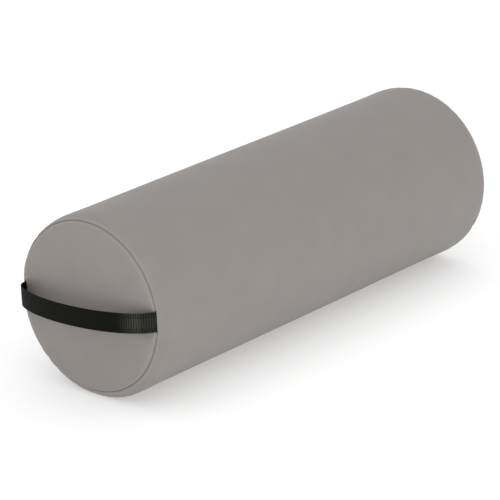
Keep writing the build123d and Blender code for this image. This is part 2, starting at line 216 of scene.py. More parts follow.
class Nodes:
    """A new node material and short ways to add and join its nodes."""

    def __init__(self, name):
        self.material = bpy.data.materials.new(name)
        self.material.use_nodes = True
        self.tree = self.material.node_tree
        self.shader = self.tree.nodes["Principled BSDF"]

    def add(self, kind, **settings):
        """A node; settings are its properties, or its inputs by name with spaces as underscores."""
        node = self.tree.nodes.new(kind)
        for key, value in settings.items():
            if hasattr(node, key):
                setattr(node, key, value)
            else:
                node.inputs[key.replace("_", " ")].default_value = value
        return node

    def link(self, output, target):
        """Joins an output to an input."""
        self.tree.links.new(output, target)

    def math(self, operation, *values):
        """A math node on outputs or numbers; returns its output."""
        node = self.add("ShaderNodeMath", operation=operation)
        for socket, value in zip(node.inputs, values):
            if isinstance(value, (int, float)):
                socket.default_value = value
            else:
                self.link(value, socket)
        return node.outputs[0]

    def mix(self, under, colour, factor):
        """A colour laid over another by a factor; returns the result."""
        node = self.add("ShaderNodeMix", data_type="RGBA", blend_type="MIX")
        self.link(under, node.inputs["A"])
        node.inputs["B"].default_value = (*colour, 1.0)
        self.link(factor, node.inputs["Factor"])
        return node.outputs["Result"]

    def noise(self, coordinates, size, detail=2.0):
        """Noise whose blobs are about size metres across; returns the factor."""
        node = self.add("ShaderNodeTexNoise", Scale=1.0 / size, Detail=detail)
        self.link(coordinates, node.inputs["Vector"])
        return node.outputs["Fac"]

    def object_coordinates(self):
        """Places in the piece's own frame, in metres."""
        return self.add("ShaderNodeTexCoord").outputs["Object"]

    def attribute(self, name):
        """One of the mesh's named weights."""
        return self.add("ShaderNodeAttribute", attribute_name=name).outputs["Fac"]

    def ramp(self, factor, stops):
        """A colour ramp through (place, colour) stops; returns the colour."""
        node = self.add("ShaderNodeValToRGB")
        elements = node.color_ramp.elements
        while len(elements) < len(stops):
            elements.new(0.5)
        for element, (place, colour) in zip(elements, stops):
            element.position = place
            element.color = (*colour, 1.0)
        self.link(factor, node.inputs["Fac"])
        return node.outputs["Color"]

    def spread(self, factor, low, high):
        """The factor, from 0 to 1, spread between two values."""
        node = self.add("ShaderNodeMapRange", To_Min=low, To_Max=high)
        self.link(factor, node.inputs["Value"])
        return node.outputs["Result"]

    def bump(self, height, distance, strength, under=None):
        """A bump of a height from 0 to 1, distance metres deep; returns the normal."""
        node = self.add("ShaderNodeBump", Strength=strength, Distance=distance)
        self.link(height, node.inputs["Height"])
        if under is not None:
            self.link(under, node.inputs["Normal"])
        return node.outputs["Normal"]


def shade(colour, factor):
    """A colour made darker or lighter."""
    return tuple(channel * factor for channel in colour)


def vinyl_material():
    """Taupe upholstery vinyl: fine leather grain, slightly uneven colour, painted shade in the seam and a
    painted highlight along the folded edge beside it."""
    m = Nodes("taupe_vinyl")
    place = m.object_coordinates()
    cells = m.add("ShaderNodeTexVoronoi", feature="DISTANCE_TO_EDGE", Scale=1.0 / GRAIN_SIZE)
    warp = m.add("ShaderNodeMix", data_type="VECTOR", Factor=0.35)
    wobble = m.add("ShaderNodeTexNoise", Scale=1.0 / GRAIN_WARP_SIZE, Detail=2.0)
    m.link(place, wobble.inputs["Vector"])
    m.link(place, warp.inputs["A"])
    offset = m.add("ShaderNodeVectorMath", operation="MULTIPLY_ADD")
    offset.inputs[1].default_value = (GRAIN_WARP, GRAIN_WARP, GRAIN_WARP)
    m.link(wobble.outputs["Color"], offset.inputs[0])
    m.link(place, offset.inputs[2])
    m.link(offset.outputs[0], warp.inputs["B"])
    m.link(warp.outputs["Result"], cells.inputs["Vector"])
    grain = m.math("SMOOTH_MIN", m.math("MULTIPLY", cells.outputs["Distance"], 4.0), 1.0)
    mottle = m.noise(place, 0.035, detail=3.0)
    speckle = m.math("MULTIPLY_ADD", grain, 0.5, 0.25)
    tone = m.ramp(
        m.math("MULTIPLY", m.math("ADD", mottle, speckle), 0.5),
        [(0.25, shade(VINYL_COLOUR, 0.93)), (0.65, shade(VINYL_COLOUR, 1.03))],
    )
    # painted shade in the seams, then a painted highlight along the folded edges beside them
    tone = m.mix(tone, shade(VINYL_COLOUR, 0.94), m.attribute("painted_seam_shade"))
    tone = m.mix(tone, shade(VINYL_COLOUR, 1.14), m.attribute("edge"))
    m.link(tone, m.shader.inputs["Base Color"])

    fine = m.noise(place, 0.0005, detail=2.0)
    normal = m.bump(grain, 0.0002, strength=0.9)
    normal = m.bump(fine, 0.00005, strength=0.6, under=normal)
    m.link(normal, m.shader.inputs["Normal"])
    wear_and_painted_highlight = m.noise(place, 0.06, detail=4.0)
    m.link(m.spread(wear_and_painted_highlight, 0.46, 0.58), m.shader.inputs["Roughness"])
    m.shader.inputs["Specular IOR Level"].default_value = 0.32
    m.shader.inputs["Sheen Weight"].default_value = 0.04
    m.shader.inputs["Sheen Roughness"].default_value = 0.5
    return m.material


def webbing_material():
    """Near-black woven webbing: a weave of yarns under the ribs, a soft sheen, dusty tone, painted shade in
    the rib grooves and selvedge lines and a painted highlight on the rib tops over the last quarter of the
    strap. The mesh gives u as metres along and v as metres across."""
    m = Nodes("black_webbing")
    across = m.add("ShaderNodeSeparateXYZ")
    m.link(m.add("ShaderNodeUVMap", uv_map="weave").outputs["UV"], across.inputs[0])
    along_ribs = m.math("MULTIPLY", across.outputs["X"], math.pi / RIB_PITCH)
    yarns = m.math("MULTIPLY", across.outputs["Y"], 2 * math.pi / YARN_PITCH)
    shift = m.math("MULTIPLY", m.math("SIGN", m.math("SINE", along_ribs)), math.pi / 2)
    weave = m.math("SINE", m.math("ADD", yarns, shift))
    weave = m.math("MULTIPLY_ADD", weave, 0.5, 0.5)
    place = m.object_coordinates()
    fibre = m.noise(place, 0.0004, detail=3.0)
    dust = m.noise(place, 0.006, detail=4.0)
    # painted shade in the rib grooves and selvedge lines, over dusty tone
    groove = m.attribute("groove")
    tone = m.ramp(
        m.math("MULTIPLY", dust, m.math("SUBTRACT", 1.0, groove)),
        [(0.15, shade(WEBBING_COLOUR, 0.60)), (0.62, shade(WEBBING_COLOUR, 1.5))],
    )
    # painted highlight on the rib tops over the last quarter of the strap
    painted_highlight_on_tops = m.math("MULTIPLY", m.attribute("painted_highlight"), m.math("SUBTRACT", 1.0, groove))
    m.link(m.mix(tone, HIGHLIGHT_WEBBING_COLOUR, painted_highlight_on_tops), m.shader.inputs["Base Color"])
    normal = m.bump(weave, 0.00012, strength=0.7)
    normal = m.bump(fibre, 0.00005, strength=0.6, under=normal)
    m.link(normal, m.shader.inputs["Normal"])
    m.link(m.spread(fibre, 0.48, 0.66), m.shader.inputs["Roughness"])
    m.shader.inputs["Specular IOR Level"].default_value = 0.08
    m.shader.inputs["Sheen Weight"].default_value = 0.01
    m.shader.inputs["Sheen Roughness"].default_value = 0.4
    m.shader.inputs["Sheen Tint"].default_value = (0.86, 0.92, 0.80, 1.0)
    return m.material


def thread_material():
    """Twisted polyester thread, a shade darker than the vinyl."""
    m = Nodes("taupe_thread")
    place = m.object_coordinates()
    twist = m.add(
        "ShaderNodeTexWave",
        wave_type="BANDS",
        bands_direction="DIAGONAL",
        Scale=1.0 / THREAD_TWIST,
        Distortion=0.4,
    )
    m.link(place, twist.inputs["Vector"])
    tone = m.ramp(
        twist.outputs["Fac"], [(0.0, shade(VINYL_COLOUR, 0.55)), (1.0, shade(VINYL_COLOUR, 0.85))]
    )
    m.link(tone, m.shader.inputs["Base Color"])
    m.link(m.bump(twist.outputs["Fac"], 0.00008, strength=0.8), m.shader.inputs["Normal"])
    m.shader.inputs["Roughness"].default_value = 0.55
    m.shader.inputs["Sheen Weight"].default_value = 0.2
    return m.material


def tape_material():
    """Woven polyester zip tape: a fine herringbone along the bolster."""
    m = Nodes("zip_tape_weave")
    place = m.object_coordinates()
    parts = m.add("ShaderNodeSeparateXYZ")
    m.link(place, parts.inputs[0])
    column = m.math("PINGPONG", parts.outputs["Z"], TAPE_COLUMN)
    slant = m.math("ADD", parts.outputs["X"], column)
    rows = m.math("SINE", m.math("MULTIPLY", slant, 2 * math.pi / TAPE_ROW))
    height = m.math("MULTIPLY_ADD", rows, 0.5, 0.5)
    fibre = m.noise(place, 0.0003, detail=2.0)
    tone = m.ramp(
        m.math("MULTIPLY", m.math("ADD", height, fibre), 0.6),
        [(0.0, shade(VINYL_COLOUR, 0.42)), (1.0, shade(VINYL_COLOUR, 0.82))],
    )
    m.link(tone, m.shader.inputs["Base Color"])
    m.link(m.bump(height, 0.00010, strength=0.8), m.shader.inputs["Normal"])
    m.shader.inputs["Roughness"].default_value = 0.78
    m.shader.inputs["Sheen Weight"].default_value = 0.15
    return m.material


def coil_material():
    """Semi-gloss nylon monofilament."""
    m = Nodes("zip_coil_nylon")
    place = m.object_coordinates()
    cloud = m.noise(place, 0.004, detail=2.0)
    tone = m.ramp(cloud, [(0.3, shade(VINYL_COLOUR, 0.50)), (0.7, shade(VINYL_COLOUR, 0.64))])
    m.link(tone, m.shader.inputs["Base Color"])
    m.link(m.spread(cloud, 0.26, 0.38), m.shader.inputs["Roughness"])
    m.link(m.bump(m.noise(place, 0.0008), 0.00002, strength=0.4), m.shader.inputs["Normal"])
    return m.material


def metal_material(name, colour, low, high, scratch):
    """Cast or stamped metal with fine scratches and a little tarnish; low and high are the roughness."""
    m = Nodes(name)
    place = m.object_coordinates()
    tarnish = m.noise(place, 0.004, detail=4.0)
    tone = m.ramp(tarnish, [(0.3, shade(colour, 0.82)), (0.7, colour)])
    m.link(tone, m.shader.inputs["Base Color"])
    stretch = m.add("ShaderNodeMapping")
    stretch.inputs["Scale"].default_value = (0.12, 1.0, 1.0)
    m.link(place, stretch.inputs["Vector"])
    lines = m.noise(stretch.outputs["Vector"], 0.0003, detail=3.0)
    m.link(m.bump(lines, scratch, strength=0.5), m.shader.inputs["Normal"])
    m.link(m.spread(tarnish, low, high), m.shader.inputs["Roughness"])
    m.shader.inputs["Metallic"].default_value = 1.0
    return m.material


def foam_material():
    """Cream polyurethane foam with open cells."""
    m = Nodes("cream_foam")
    place = m.object_coordinates()
    cells = m.add("ShaderNodeTexVoronoi", feature="F1", Scale=1.0 / FOAM_CELL)
    m.link(place, cells.inputs["Vector"])
    tone = m.ramp(cells.outputs["Distance"], [(0.0, (0.50, 0.46, 0.34)), (0.7, (0.76, 0.71, 0.56))])
    m.link(tone, m.shader.inputs["Base Color"])
    m.link(m.bump(cells.outputs["Distance"], 0.0004, strength=0.8), m.shader.inputs["Normal"])
    m.shader.inputs["Roughness"].default_value = 0.95
    return m.material


def floor_material():
    """Matt and pale, glowing a little, and more so on the side towards FLOOR_GLOW_PLACE."""
    m = Nodes("pale_floor")
    place = m.object_coordinates()
    cloud = m.noise(place, 0.8, detail=3.0)
    tone = m.ramp(cloud, [(0.0, (0.70, 0.70, 0.70)), (1.0, (0.73, 0.73, 0.73))])
    m.link(tone, m.shader.inputs["Base Color"])
    m.shader.inputs["Emission Color"].default_value = (1.0, 1.0, 1.0, 1.0)
    parts = m.add("ShaderNodeSeparateXYZ")
    m.link(place, parts.inputs[0])
    bright_side = m.add(
        "ShaderNodeMapRange",
        interpolation_type="SMOOTHSTEP",
        From_Min=0.0,
        From_Max=FLOOR_GLOW_PLACE,
        To_Min=FLOOR_GLOW[0],
        To_Max=FLOOR_GLOW[1],
    )
    m.link(parts.outputs["Y"], bright_side.inputs["Value"])
    m.link(bright_side.outputs["Result"], m.shader.inputs["Emission Strength"])
    m.shader.inputs["Roughness"].default_value = 0.95
    m.shader.inputs["Specular IOR Level"].default_value = 0.1
    return m.material


# ---------------------------------------------------------------- mesh helpers


def grid_object(name, points, material=None, weights=None, uv=None, thickness=0.0, ends=()):
    """A smooth mesh over points[row, column], whose last column joins the first. weights are named values on
    the points, uv is (name, values on the points), thickness makes it a solid, inwards, and ends are the
    rows, 0 or -1, that a face closes."""
    rows, columns = points.shape[:2]
    mesh = bpy.data.meshes.new(name)
    row, column = np.meshgrid(np.arange(rows - 1), np.arange(columns), indexing="ij")
    following = (column + 1) % columns
    faces = np.stack(
        [
            row * columns + column,
            row * columns + following,
            (row + 1) * columns + following,
            (row + 1) * columns + column,
        ],
        axis=-1,
    ).reshape(-1, 4)
    first, last = list(range(columns)), list(range((rows - 1) * columns, rows * columns))
    closed = [first[::-1] if end == 0 else last for end in ends]
    mesh.from_pydata(points.reshape(-1, 3).tolist(), [], faces.tolist() + closed)
    mesh.shade_smooth()
    for weight_name, values in (weights or {}).items():
        attribute = mesh.attributes.new(weight_name, "FLOAT", "POINT")
        attribute.data.foreach_set("value", values.reshape(-1).astype(np.float32))
    if uv is not None:
        layer = mesh.uv_layers.new(name=uv[0])
        corners = uv[1].reshape(-1, 2)[sum(faces.tolist() + closed, [])]
        layer.data.foreach_set("uv", corners.reshape(-1).astype(np.float32))
    if material:
        mesh.materials.append(material)
    piece = bpy.data.objects.new(name, mesh)
    bpy.context.scene.collection.objects.link(piece)
    if thickness:
        solid = piece.modifiers.new("thickness", "SOLIDIFY")
        solid.thickness = thickness
        solid.offset = -1.0
    return piece


def smooth_step(x, low, high):
    """0 at low, 1 at high, and smooth between them."""
    t = np.clip((x - low) / (high - low), 0.0, 1.0)
    return t * t * (3.0 - 2.0 * t)


def soft_min(a, b, softness):
    """The smaller of a and b, rounded where they cross."""
    return (a + b) / 2 - np.sqrt(((a - b) / 2) ** 2 + softness**2)


def random_wave(angle, cycles, seed):
    """A smooth random wave round the bolster, about -1 to 1, that joins up with itself."""
    rng = np.random.default_rng(seed)
    numbers = np.arange(cycles[0], cycles[1])
    sizes = rng.normal(size=numbers.size)
    phases = rng.uniform(0.0, 2 * math.pi, numbers.size)
    total = sum(a * np.cos(n * angle + p) for n, a, p in zip(numbers, sizes, phases))
    return total / (2.0 * np.sqrt(np.sum(sizes**2) / 2))


# ---------------------------------------------------------------- cloth


def swollen(points, sewn_rows, pressure, stiffness):
    """Swells a panel with Blender's cloth, pushed out by the foam and held at its sewn rows. Returns how far
    each point moved, at most CLOTH_CAP; nothing is left in the scene."""
    rows, columns = points.shape[:2]
    panel = grid_object("panel_cloth", points)
    sewn = panel.vertex_groups.new(name="sewn")
    for row in sewn_rows:
        first = (row % rows) * columns
        sewn.add(list(range(first, first + columns)), 1.0, "REPLACE")
    cloth = panel.modifiers.new("cloth", "CLOTH")
    cloth.point_cache.frame_start = 1
    cloth.point_cache.frame_end = CLOTH_FRAMES
    settings = cloth.settings
    settings.vertex_group_mass = "sewn"
    settings.effector_weights.gravity = 0.0
    settings.use_pressure = True
    settings.uniform_pressure_force = pressure
    settings.tension_stiffness = stiffness
    settings.compression_stiffness = stiffness
    settings.shear_stiffness = stiffness / 2
    settings.bending_stiffness = CLOTH_BENDING
    for frame_number in range(1, CLOTH_FRAMES + 1):
        bpy.context.scene.frame_set(frame_number)
    result = panel.evaluated_get(bpy.context.evaluated_depsgraph_get()).data
    places = np.empty(points.size, np.float32)
    result.vertices.foreach_get("co", places)
    moved = places.reshape(points.shape) - points
    mesh = panel.data
    bpy.data.objects.remove(panel)
    bpy.data.meshes.remove(mesh)
    bpy.context.scene.frame_set(1)
    length = np.linalg.norm(moved, axis=-1, keepdims=True)
    return moved * np.minimum(1.0, CLOTH_CAP / np.maximum(length, 1e-9))


def spline_weights(t):
    """The weights of four even points for a smooth curve a share t of the way between the middle two."""
    return (
        (-(t**3) + 2 * t**2 - t) / 2,
        (3 * t**3 - 5 * t**2 + 2) / 2,
        (-3 * t**3 + 4 * t**2 + t) / 2,
        (t**3 - t**2) / 2,
    )


def sample(grid, row, column):
    """Smooth values of an even grid at rows and columns that may be fractions; its columns join up."""
    row, column = np.broadcast_arrays(row, column)
    first_row = np.clip(np.floor(row).astype(int), 0, grid.shape[0] - 2)
    first_column = np.floor(column).astype(int)
    total = np.zeros(row.shape)
    for i, row_weight in enumerate(spline_weights(row - first_row)):
        rows = np.clip(first_row + i - 1, 0, grid.shape[0] - 1)
        for j, column_weight in enumerate(spline_weights(column - first_column)):
            total += row_weight * column_weight * grid[rows, (first_column + j - 1) % grid.shape[1]]
    return total


def even_angles(radius):
    """Angles once round, about CLOTH_STEP apart at a radius."""
    count = int(2 * math.pi * radius / CLOTH_STEP)
    return np.arange(count) * 2 * math.pi / count


# ---------------------------------------------------------------- the cover


def seam_radius(angle, near, ply):
    """The radius of the end seam. The near seam is sewn a little off centre, and the handle's flat feet part
    its two plies: ply is 1 for the tube's, outside them, and -1 for the end panel's, inside them."""
    radius = np.full_like(angle, SEAM_RADIUS)
    if not near:
        return radius + ply * PLY_GAP
    shift = math.hypot(*SEAM_SHIFT)
    turn = angle - math.atan2(SEAM_SHIFT[1], SEAM_SHIFT[0])
    radius = shift * np.cos(turn) + np.sqrt(SEAM_RADIUS**2 - (shift * np.sin(turn)) ** 2)
    rise = HANDLE_PIVOT[2] - AXIS_HEIGHT
    across_axis = (HANDLE_ALONG[2], -HANDLE_ALONG[1])
    for foot in HANDLE_FEET:
        side = math.copysign(1.0, foot)
        towards = side * (np.cos(angle) * HANDLE_ALONG[1] + np.sin(angle) * HANDLE_ALONG[2])
        middle = abs(foot) + side * rise * HANDLE_ALONG[2]
        flat = np.where(towards > 0.2, middle / np.maximum(towards, 0.2), 10.0)
        radius = soft_min(radius, flat + 0.6 * MM, 0.3 * MM)
        across = radius * (np.cos(angle) * across_axis[0] + np.sin(angle) * across_axis[1]) - rise
        beside = smooth_step(np.abs(across), HANDLE_WIDTH / 2, HANDLE_WIDTH / 2 + PLY_REJOIN)
        at_foot = (1.0 - beside) * (towards > 0)
        parted = flat + ply * (HANDLE_THICKNESS / 2 + 0.2 * MM)
        radius = np.where(at_foot > 0, radius + (parted - radius) * at_foot, radius)
    return radius + ply * PLY_GAP


def angle_from(angle, centre):
    """How far an angle is from centre by the short way round, from -pi to pi."""
    return (angle - centre + math.pi) % (2 * math.pi) - math.pi


def foot_nearness(angle):
    """1 at the handle's feet, falling to 0 a few centimetres round from them."""
    near = np.zeros_like(angle)
    for foot in HANDLE_FEET:
        place = HANDLE_PIVOT + HANDLE_ALONG * foot
        centre = math.atan2(place[2] - AXIS_HEIGHT, place[1])
        away = np.abs(angle_from(angle, centre)) * RADIUS
        near = np.maximum(near, 1.0 - smooth_step(away, *FOOT_REACH))
    return near


def puckers(angle, distance, near, seed):
    """How far the cover dips beside an end seam: short gathers that run out from the stitches."""
    wave = random_wave(angle, PUCKER_CYCLES, seed)
    fine = random_wave(angle, FINE_CYCLES, seed + 1)
    gathers = np.maximum(wave, 0.0) ** 1.4 + 0.25 * np.maximum(fine, 0.0)
    depth = PUCKER_DEPTH * (1.0 + 0.4 * foot_nearness(angle) * near)
    reach = PUCKER_REACH * (0.75 + 0.35 * random_wave(angle, (5, 17), seed + 2))
    start = smooth_step(distance, 0.2 * MM, 2.0 * MM)
    return gathers * depth * start * np.exp(-((distance / reach) ** 2))


def place_points(x, radius, angle):
    """Points at a place along the bolster, a radius and an angle, settled onto the floor."""
    y = radius * np.cos(angle)
    z = AXIS_HEIGHT + radius * np.sin(angle)
    z = (z + np.sqrt(z**2 + FLOOR_SOFTNESS**2)) / 2
    return np.stack(np.broadcast_arrays(x, y, z), axis=-1)


def angle_columns():
    """Angles round the cover: even, with closer ones where it dips to the zip."""
    step = COLUMN_STEP / RADIUS
    beside = np.array([0.0, 1.2, 2.6, 4.2, 5.1, 5.5, 5.8, 6.0, 6.2, 6.6, 7.3, 8.6, 10.4, 12.2]) * MM / RADIUS
    fine = np.concatenate([-beside[:0:-1], beside])
    count = int((2 * math.pi - 2 * beside[-1]) / step)
    rest = np.linspace(beside[-1], 2 * math.pi - beside[-1], count + 1)[1:-1]
    return ZIP_ANGLE + np.concatenate([fine, rest])


def end_path(angle, near):
    """Depths from the seam's plane, radii, and shares of how far the place is outside, by row and column:
    the seam allowance, the fold and the shoulder."""
    seam = seam_radius(angle, near, 1)
    path = [(depth, seam, 0.0) for depth in (FLANGE, 5 * MM, FOLD)]
    for share in np.linspace(0.15, 1.0, 6):
        turn = share * math.pi / 2
        path.append((FOLD * (1 - math.sin(turn)), seam + FOLD * (1 - math.cos(turn)), share))
    for turn in np.linspace(0.06, 1.0, 16) * math.pi / 2:
        radius = seam + FOLD + (RADIUS - seam - FOLD) * math.sin(turn)
        path.append((SHOULDER * (1 - math.cos(turn)), radius, 1.0))
    return [np.array([np.broadcast_to(step[part], angle.shape) for step in path]) for part in range(3)]


def swell(x, angle):
    """The slow unevenness of foam under the cover, less near the ends."""
    waves = ((2, 1.3, 0.4), (3, -0.9, 2.2), (5, 1.7, 4.1), (7, -2.3, 1.0))
    total = sum(np.sin(n * angle + k * math.pi * x / SEAM_X + start) for n, k, start in waves)
    return total / len(waves) * WAVE_DEPTH * smooth_step(np.abs(x), SEAM_X, SEAM_X - 60 * MM)


def zip_dip(x, angle):
    """How far the cover drops at the zip's slot, its hems and the closing seams beyond its ends, and how
    much of a closing seam each place is."""
    away = np.abs(angle_from(angle, ZIP_ANGLE)) * RADIUS
    slot = 1.0 - smooth_step(away, ZIP_SLOT_HALF - 0.5 * MM, ZIP_SLOT_HALF + 0.2 * MM)
    slot = slot * (1.0 - smooth_step(np.abs(x), ZIP_SLOT_END - 0.6 * MM, ZIP_SLOT_END + 0.6 * MM))
    seam = np.exp(-((away / DIP_WIDTH) ** 2)) * smooth_step(np.abs(x), ZIP_SLOT_END, ZIP_SLOT_END + 3 * MM)
    hem = np.exp(-(((away - HEM_STITCH_PLACE) / DIP_WIDTH) ** 2)) * (np.abs(x) < ZIP_SLOT_END)
    return slot * (RADIUS - ZIP_FLOOR) + seam * CLOSING_SEAM_DEPTH + hem * HEM_DEPTH, seam


def tube_swell():
    """A function of place and angle: how far the tube's cloth stands from its nominal radius."""
    angle = even_angles(RADIUS)
    x = np.linspace(-SEAM_X, SEAM_X, int(2 * SEAM_X / CLOTH_STEP) + 1)[:, None]
    from_end = np.minimum(SEAM_X - np.abs(x), SHOULDER) / SHOULDER
    rise = np.sqrt(np.maximum(0.0, 1 - (1 - from_end) ** 2))
    start = swell(x, angle) - TUBE_SLACK * smooth_step(SEAM_X - np.abs(x), 0.0, 60 * MM)
    seam = np.where(x < 0, seam_radius(angle, True, 1), seam_radius(angle, False, 1))
    radius = seam + (RADIUS - seam) * rise + start
    points = np.stack(np.broadcast_arrays(x, radius * np.cos(angle), radius * np.sin(angle)), axis=-1)
    moved = swollen(points, (0, -1), TUBE_PRESSURE, TUBE_STIFFNESS)
    outwards = start + moved[..., 1] * np.cos(angle) + moved[..., 2] * np.sin(angle)

    def stand(x, turn):
        row = (x + SEAM_X) / (2 * SEAM_X) * (outwards.shape[0] - 1)
        return sample(outwards, row, (turn / (2 * math.pi)) % 1.0 * outwards.shape[1])

    return stand


def seam_marks(from_seam):
    """Weights for the painted shade in a seam's crease and the painted highlight along the folded edge beside
    it.
    """
    painted_seam_shade = np.exp(-((from_seam / SEAM_SHADE_WIDTH) ** 2))
    edge = np.exp(-(((from_seam - EDGE_HIGHLIGHT_PLACE) / EDGE_HIGHLIGHT_WIDTH) ** 2))
    return painted_seam_shade, edge


def make_body(material, stand):
    """The tube of the cover, with its folded ends, the zip's slot and slight gathers beside the seams."""
    angle = angle_columns()
    near_depth, near_radius, near_outside = end_path(angle, True)
    far_depth, far_radius, far_outside = end_path(angle, False)
    gather_rows = SEAM_X - SHOULDER - GATHER_ROWS
    slot_rows = ZIP_SLOT_END + np.array([-1.2, -0.6, -0.3, 0.0, 0.3, 0.6, 1.2, 3.0]) * MM
    even_rows = np.linspace(-gather_rows[-1], gather_rows[-1], int(2 * gather_rows[-1] / ROW_STEP))[1:-1]
    middle = np.sort(np.concatenate([even_rows, gather_rows, -gather_rows, slot_rows, -slot_rows]))
    middle = np.repeat(middle[:, None], angle.size, 1)
    x = np.concatenate([near_depth - SEAM_X, middle, SEAM_X - far_depth[::-1]])
    radius = np.concatenate([near_radius, np.full_like(middle, RADIUS), far_radius[::-1]])
    outside = np.concatenate([near_outside, np.ones_like(middle), far_outside[::-1]])
    turn = np.broadcast_to(angle, x.shape)

    from_near = np.hypot(x + SEAM_X, radius - near_radius[3])
    from_far = np.hypot(SEAM_X - x, radius - far_radius[3])
    dip = puckers(turn, from_near, 1.0, 11) + puckers(turn, from_far, 0.0, 23)
    drop, seam_line = zip_dip(x, turn)
    points = place_points(x, radius + outside * (stand(x, turn) - dip - drop), turn)

    # painted shade in the end seams and a painted highlight on the folded edges beside them; the closing
    # seams beyond the zip get painted shade too
    painted_seam_shade, edge = seam_marks(np.minimum(from_near, from_far))
    painted_seam_shade = np.maximum(painted_seam_shade, 0.7 * seam_line)
    piece = grid_object(
        "cover_body", points, material, weights={"painted_seam_shade": painted_seam_shade, "edge": edge}, thickness=VINYL
    )
    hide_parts("body_panel")
    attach(piece, "bolster")


def crown_rise(ratio, held):
    """How far an end stands out at a share of its radius, before its cloth swells: a rounded rim and a flat
    face, sloping to the seam where held is 1, at a foot of the handle. The middle is the same all round."""
    held = held * smooth_step(ratio, *HELD_REACH)
    rim = np.clip((1 - ratio) / RIM_SHARE, 0.0, 1.0)
    puffed = (CROWN - DOME) * np.sqrt(1 - (1 - rim) ** 2)
    pressed = CROWN * (1 - ratio**2.5)
    return puffed + (pressed - puffed) * held


def end_swell(near):
    """A function of the share of the radius and the angle: how far an end's cloth swells outwards."""
    angle = even_angles(SEAM_RADIUS)
    ratio = np.linspace(END_MIDDLE, 1.0, int(SEAM_RADIUS / CLOTH_STEP))[:, None]
    held = foot_nearness(angle) if near else np.zeros_like(angle)
    radius = SEAM_RADIUS * ratio
    points = np.stack(
        np.broadcast_arrays(-crown_rise(ratio, held), radius * np.cos(angle), radius * np.sin(angle)), axis=-1
    )
    outwards = -swollen(points, (-1,), END_PRESSURE, END_STIFFNESS)[..., 0]
    outwards *= DOME / max(DOME, outwards.max())
    middle = outwards[0].mean()

    def stand(ratio, turn):
        row = np.maximum(0.0, ratio - END_MIDDLE) / (1 - END_MIDDLE) * (outwards.shape[0] - 1)
        here = sample(outwards, row, (turn / (2 * math.pi)) % 1.0 * outwards.shape[1])
        return middle + (here - middle) * smooth_step(ratio, 0.0, END_MIDDLE)

    return stand


def make_end(name, node, near, material, seed):
    """An end panel: a crowned disc, folded in at its rim, gathered a little beside the seam."""
    angle = np.linspace(0.0, 2 * math.pi, 401)[:-1]
    seam = seam_radius(angle, near, -1)
    stand = end_swell(near)
    held = foot_nearness(angle) if near else np.zeros_like(angle)
    rim = seam - FOLD
    rounding = np.sin(np.linspace(0.0, 1.0, 22) * math.pi / 2)
    ratios = np.concatenate([np.linspace(0.004, 0.90, 26), 1.0 - RIM_SHARE * (1.0 - rounding)])
    reference = SEAM_RADIUS - PLY_GAP - FOLD
    rows = []
    for ratio in ratios:
        local = reference * ratio + (rim - reference) * smooth_step(ratio, 0.55, 1.0)
        rows.append((-crown_rise(ratio, held) - stand(np.full_like(angle, ratio), angle), local))
    for turn in np.linspace(0.15, 1.0, 6) * math.pi / 2:
        rows.append((np.full_like(angle, FOLD * (1 - math.cos(turn))), rim + FOLD * math.sin(turn)))
    rows += [(np.full_like(angle, depth), seam) for depth in (5 * MM, FLANGE)]
    depth = np.array([row[0] for row in rows])
    radius = np.array([row[1] for row in rows])
    turn = np.broadcast_to(angle, depth.shape)
    from_seam = np.hypot(seam - radius, depth)
    dip = puckers(turn, from_seam, float(near), seed)
    dip = np.where(depth > 0, 0.0, dip)
    x = depth + dip
    side = -1.0 if near else 1.0
    points = place_points(side * (SEAM_X - x), radius, turn)
    # painted shade in the seam and a painted highlight along the folded edge beside it
    painted_seam_shade, edge = seam_marks(from_seam)
    if not near:
        points, painted_seam_shade, edge = points[:, ::-1], painted_seam_shade[:, ::-1], edge[:, ::-1]
    weights = {"painted_seam_shade": painted_seam_shade, "edge": edge}
    piece = grid_object(name, points, material, weights=weights, thickness=VINYL, ends=(0,))
    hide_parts(node)
    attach(piece, "bolster")


# ---------------------------------------------------------------- the handle


def handle_line():
    """The webbing's line as (along, out, distance), closely and evenly spaced: straight out of the seam,
    one curve across the end, and straight back in."""
    t = np.linspace(0.0, 1.0, 2001)
    start, end = HANDLE_FEET
    corners = [(start, 0.0), (start + HANDLE_PULLS[0][0], HANDLE_PULLS[0][1])]
    corners += [(end + HANDLE_PULLS[1][0], HANDLE_PULLS[1][1]), (end, 0.0)]
    weights = ((1 - t) ** 3, 3 * t * (1 - t) ** 2, 3 * t**2 * (1 - t), t**3)
    along = sum(w * corner[0] for w, corner in zip(weights, corners))
    out = sum(w * corner[1] for w, corner in zip(weights, corners))
    tail = np.linspace(-HANDLE_TAIL, 0.0, 40)[:-1]
    along = np.concatenate([np.full(tail.size, start), along, np.full(tail.size, end)])
    out = np.concatenate([tail, out, tail[::-1]])
    distance = np.concatenate([[0.0], np.cumsum(np.hypot(np.diff(along), np.diff(out)))])
    even = np.linspace(0.0, distance[-1], int(distance[-1] / RIB_PITCH * RIB_ROWS))
    along, out = np.interp(even, distance, along), np.interp(even, distance, out)
    for _ in range(30):
        along[1:-1] = (along[:-2] + 2 * along[1:-1] + along[2:]) / 4
        out[1:-1] = (out[:-2] + 2 * out[1:-1] + out[2:]) / 4
    return along, out, even


def webbing_section():
    """One turn round the webbing's section as (across, through): two faces and two rounded edges."""
    half, thick = HANDLE_WIDTH / 2, HANDLE_THICKNESS / 2
    turn = np.linspace(0.0, 2 * math.pi, 73)[:-1]
    across = half * np.sign(np.cos(turn)) * np.abs(np.cos(turn)) ** 0.55
    through = thick * np.sign(np.sin(turn)) * np.minimum(1.0, 2.6 * np.abs(np.sin(turn))) ** 0.6
    return across, through


